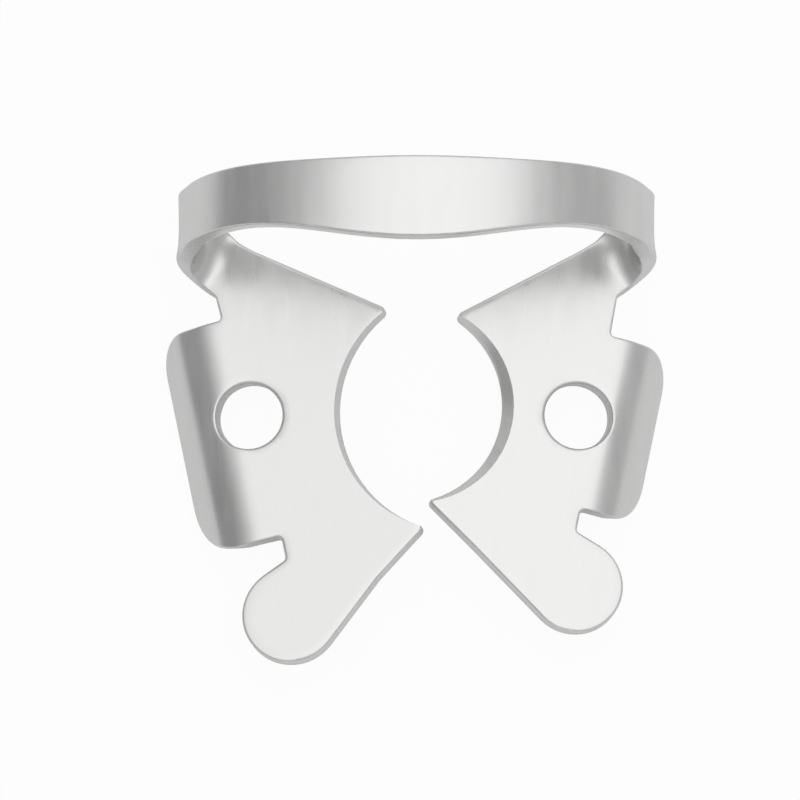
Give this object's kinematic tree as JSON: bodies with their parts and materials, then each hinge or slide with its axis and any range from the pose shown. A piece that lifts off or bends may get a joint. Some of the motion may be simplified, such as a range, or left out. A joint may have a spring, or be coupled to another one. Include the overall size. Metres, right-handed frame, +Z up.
{
  "type": "rubber dam clamp",
  "caption": "Spring steel dental clamp that holds a rubber dam on a molar: curved jaws with forceps holes and side wings, joined by an arched strap.",
  "frame": {"origin": "under the middle of the clamp's box, on the plane its wings stand on", "axes": "+X across the tooth to the shorter jaw's side, +Y to the back of the mouth where the strap is, +Z up out of the jaws towards the top of the strap"},
  "size_m": [0.021, 0.0198, 0.011],
  "materials": {
    "spring_steel": "tumbled satin polish over fine brushing, edges rounded"
  },
  "bodies": {
    "root": {"clamp": "spring_steel"}
  },
  "joints": []
}
